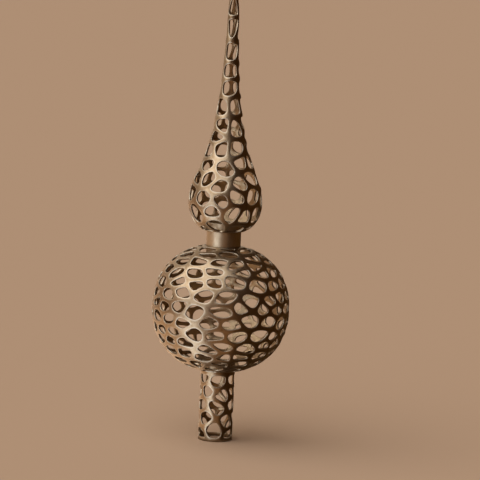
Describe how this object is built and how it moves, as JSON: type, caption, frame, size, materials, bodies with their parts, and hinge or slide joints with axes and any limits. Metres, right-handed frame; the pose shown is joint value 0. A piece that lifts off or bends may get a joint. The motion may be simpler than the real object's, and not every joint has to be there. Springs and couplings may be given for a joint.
{
  "type": "tree topper",
  "caption": "Pierced brass tree topper: an openwork socket tube, a round openwork ball, a plain neck and an openwork drop drawn out into a long hollow spire.",
  "frame": {"origin": "middle of the socket tube's mouth, in the plane of its rim", "axes": "+Z along the axis from the mouth to the tip of the spire; +X to the right and +Y away as the picture shows the object"},
  "size_m": [0.08, 0.08, 0.2986],
  "materials": {
    "pierced_brass": "antique brass sheet with a satin face, brown in the recesses and rubbed bright on the edges of the openings",
    "plain_brass": "antique brass, turned and satin polished"
  },
  "bodies": {
    "root": {"socket_tube": "pierced_brass", "ball_lower_shell": "pierced_brass", "ball_upper_shell": "pierced_brass", "neck_tube": "plain_brass", "drop_bowl": "pierced_brass", "spire_shell": "pierced_brass", "spire_tip": "plain_brass"}
  },
  "joints": []
}
